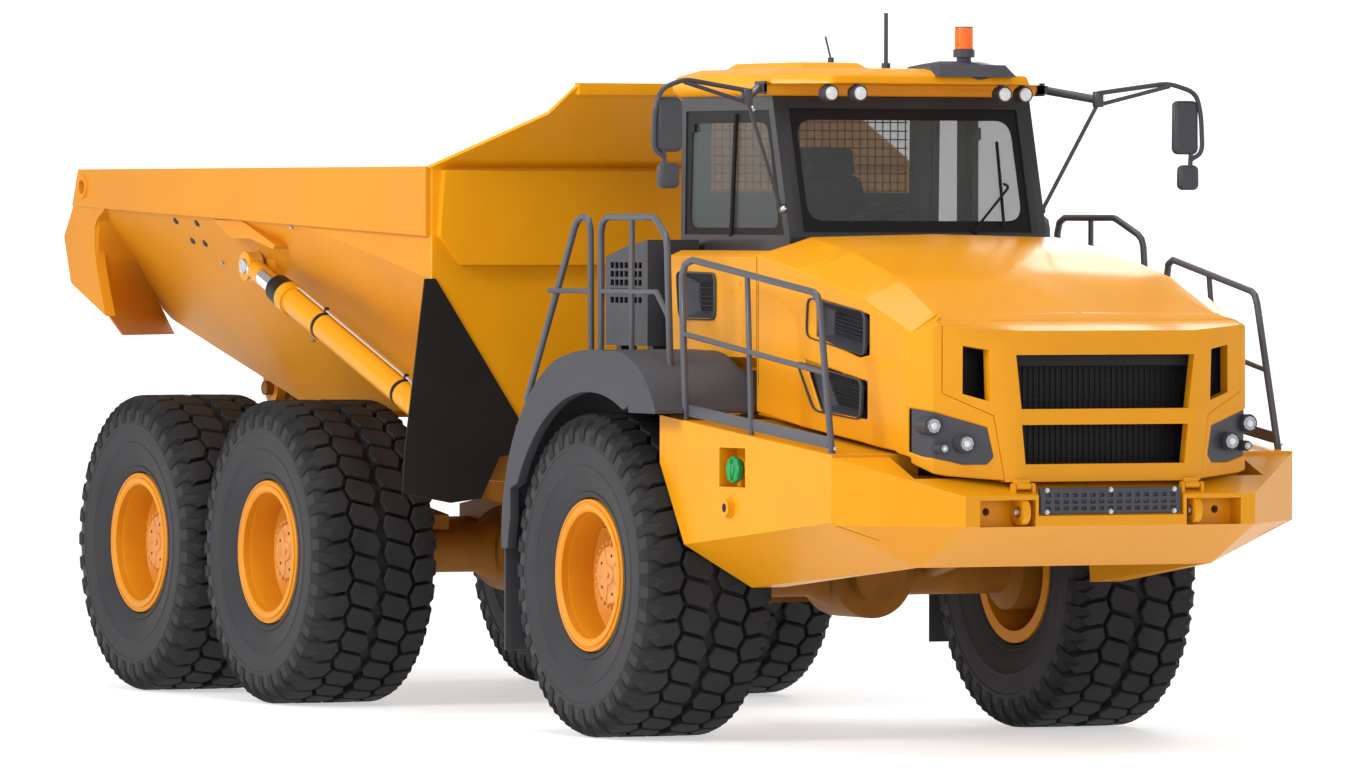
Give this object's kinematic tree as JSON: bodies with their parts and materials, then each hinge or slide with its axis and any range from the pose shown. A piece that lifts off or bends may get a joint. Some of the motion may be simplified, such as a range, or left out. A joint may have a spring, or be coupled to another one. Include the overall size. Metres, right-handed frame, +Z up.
{
  "type": "articulated dump truck",
  "caption": "Articulated dump truck: cab unit and six-wheeled chassis jointed at a central hitch, with a tipping bin, tilting bonnet and rolling wheels.",
  "frame": {"origin": "bottom centre of the machine's box, on the ground", "axes": "+X forward towards the grille, +Y to the machine's left, +Z up"},
  "size_m": [10.81, 3.63, 4.137],
  "materials": {
    "body_yellow": "semi-gloss",
    "cab_black": "satin",
    "cab_trim": "matte",
    "chassis_grey": "satin",
    "chassis_yellow": "satin",
    "cooler_black": "matte",
    "cylinder_paint": "satin",
    "engine_grey": "matte",
    "fender_grey": "matte",
    "flap_rubber": "matte",
    "lamp_white": "gloss",
    "rail_grey": "satin",
    "rim_orange": "satin",
    "rod_chrome": "polished",
    "trim_black": "satin",
    "tyre": "matte",
    "window_glass": "clear"
  },
  "bodies": {
    "front_body": {"front_frame": "chassis_yellow", "front_axle": "chassis_yellow", "engine_block": "engine_grey", "radiator": "cooler_black", "front_bumper": "body_yellow", "bumper_step": "chassis_grey", "side_boxes": "body_yellow", "body_sides": "body_yellow", "fenders": "fender_grey", "handrails": "rail_grey", "cooler_guard": "chassis_grey", "cab_shell": "cab_black", "cab_roof": "body_yellow", "cab_glass": "window_glass", "cab_interior": "cab_trim", "mirrors": "trim_black", "roof_lights": "lamp_white"},
    "bonnet": {"bonnet": "body_yellow", "grille_panel": "body_yellow", "headlamps": "lamp_white"},
    "cab_door": {"cab_door": "cab_black", "door_glass": "window_glass"},
    "hitch": {"hitch": "chassis_yellow"},
    "rear_body": {"rear_frame": "chassis_yellow", "rear_axles": "chassis_yellow", "walking_beams": "chassis_yellow", "driveshafts": "chassis_grey"},
    "bin": {"bin_tub": "body_yellow", "bin_front": "body_yellow", "bin_flaps": "flap_rubber"},
    "hoist_barrel_left": {"hoist_barrel_left": "cylinder_paint"},
    "hoist_rod_left": {"hoist_rod_left": "rod_chrome"},
    "steer_barrel_left": {"steer_barrel_left": "cylinder_paint"},
    "steer_rod_left": {"steer_rod_left": "rod_chrome"},
    "hoist_barrel_right": {"hoist_barrel_right": "cylinder_paint"},
    "hoist_rod_right": {"hoist_rod_right": "rod_chrome"},
    "steer_barrel_right": {"steer_barrel_right": "cylinder_paint"},
    "steer_rod_right": {"steer_rod_right": "rod_chrome"},
    "wheel_front_left": {"tyre_front_left": "tyre", "rim_front_left": "rim_orange"},
    "wheel_front_right": {"tyre_front_right": "tyre", "rim_front_right": "rim_orange"},
    "wheel_middle_left": {"tyre_middle_left": "tyre", "rim_middle_left": "rim_orange"},
    "wheel_middle_right": {"tyre_middle_right": "tyre", "rim_middle_right": "rim_orange"},
    "wheel_rear_left": {"tyre_rear_left": "tyre", "rim_rear_left": "rim_orange"},
    "wheel_rear_right": {"tyre_rear_right": "tyre", "rim_rear_right": "rim_orange"}
  },
  "joints": [
    {"name": "articulation", "type": "hinge", "parent": "front_body", "child": "hitch", "pos_m": [1.155, 0, 1.09], "axis": [0, 0, 1], "range_deg": [-42, 42]},
    {"name": "oscillation", "type": "hinge", "parent": "hitch", "child": "rear_body", "pos_m": [0.275, 0, 1.09], "axis": [1, 0, 0], "range_deg": [-15, 15]},
    {"name": "bin_dump", "type": "hinge", "parent": "rear_body", "child": "bin", "pos_m": [-4.395, 0, 1.88], "axis": [0, -1, 0], "range_deg": [0, 70]},
    {"name": "bonnet_tilt", "type": "hinge", "parent": "front_body", "child": "bonnet", "pos_m": [5.33, 0, 1.492], "axis": [0, 1, 0], "range_deg": [0, 60]},
    {"name": "cab_door_swing", "type": "hinge", "parent": "front_body", "child": "cab_door", "pos_m": [2.221, 0.846, 2.985], "axis": [0, 0, 1], "range_deg": [0, 50]},
    {"name": "hoist_barrel_left_pivot", "type": "hinge", "parent": "rear_body", "child": "hoist_barrel_left", "pos_m": [-0.1, 1.55, 1.78], "axis": [0, 1, 0], "range_deg": [-1, 6.1]},
    {"name": "hoist_rod_left_slide", "type": "slide", "parent": "hoist_barrel_left", "child": "hoist_rod_left", "axis": [-0.947, 0, 0.3212], "range_m": [0, 2.1229]},
    {"name": "steer_barrel_left_pivot", "type": "hinge", "parent": "front_body", "child": "steer_barrel_left", "pos_m": [2.085, 0.64, 1.085], "axis": [0, 0, 1], "range_deg": [-8.35, 8.35]},
    {"name": "steer_rod_left_slide", "type": "slide", "parent": "steer_barrel_left", "child": "steer_rod_left", "axis": [-0.987, -0.1607, 0], "range_m": [-0.3393, 0.3393]},
    {"name": "hoist_barrel_right_pivot", "type": "hinge", "parent": "rear_body", "child": "hoist_barrel_right", "pos_m": [-0.1, -1.55, 1.78], "axis": [0, 1, 0], "range_deg": [-1, 6.1]},
    {"name": "hoist_rod_right_slide", "type": "slide", "parent": "hoist_barrel_right", "child": "hoist_rod_right", "axis": [-0.947, 0, 0.3212], "range_m": [0, 2.1229]},
    {"name": "steer_barrel_right_pivot", "type": "hinge", "parent": "front_body", "child": "steer_barrel_right", "pos_m": [2.085, -0.64, 1.085], "axis": [0, 0, 1], "range_deg": [-8.35, 8.35]},
    {"name": "steer_rod_right_slide", "type": "slide", "parent": "steer_barrel_right", "child": "steer_rod_right", "axis": [-0.987, 0.1607, 0], "range_m": [-0.3393, 0.3393]},
    {"name": "wheel_front_left_spin", "type": "hinge", "parent": "front_body", "child": "wheel_front_left", "pos_m": [2.355, 1.372, 0.925], "axis": [0, 1, 0], "continuous": true},
    {"name": "wheel_front_right_spin", "type": "hinge", "parent": "front_body", "child": "wheel_front_right", "pos_m": [2.355, -1.372, 0.925], "axis": [0, 1, 0], "continuous": true},
    {"name": "wheel_middle_left_spin", "type": "hinge", "parent": "rear_body", "child": "wheel_middle_left", "pos_m": [-2.083, 1.372, 0.925], "axis": [0, 1, 0], "continuous": true},
    {"name": "wheel_middle_right_spin", "type": "hinge", "parent": "rear_body", "child": "wheel_middle_right", "pos_m": [-2.083, -1.372, 0.925], "axis": [0, 1, 0], "continuous": true},
    {"name": "wheel_rear_left_spin", "type": "hinge", "parent": "rear_body", "child": "wheel_rear_left", "pos_m": [-4.033, 1.372, 0.925], "axis": [0, 1, 0], "continuous": true},
    {"name": "wheel_rear_right_spin", "type": "hinge", "parent": "rear_body", "child": "wheel_rear_right", "pos_m": [-4.033, -1.372, 0.925], "axis": [0, 1, 0], "continuous": true}
  ],
  "couplings": [
    {"joint": "hoist_barrel_left_pivot", "follows": "bin_dump", "ratio": 0.072871},
    {"joint": "hoist_rod_left_slide", "follows": "bin_dump", "m_per_rad": 1.736},
    {"joint": "steer_barrel_left_pivot", "follows": "articulation", "ratio": 0.18697},
    {"joint": "steer_rod_left_slide", "follows": "articulation", "m_per_rad": 0.46008},
    {"joint": "hoist_barrel_right_pivot", "follows": "bin_dump", "ratio": 0.072871},
    {"joint": "hoist_rod_right_slide", "follows": "bin_dump", "m_per_rad": 1.736},
    {"joint": "steer_barrel_right_pivot", "follows": "articulation", "ratio": 0.18697},
    {"joint": "steer_rod_right_slide", "follows": "articulation", "m_per_rad": -0.46008}
  ]
}
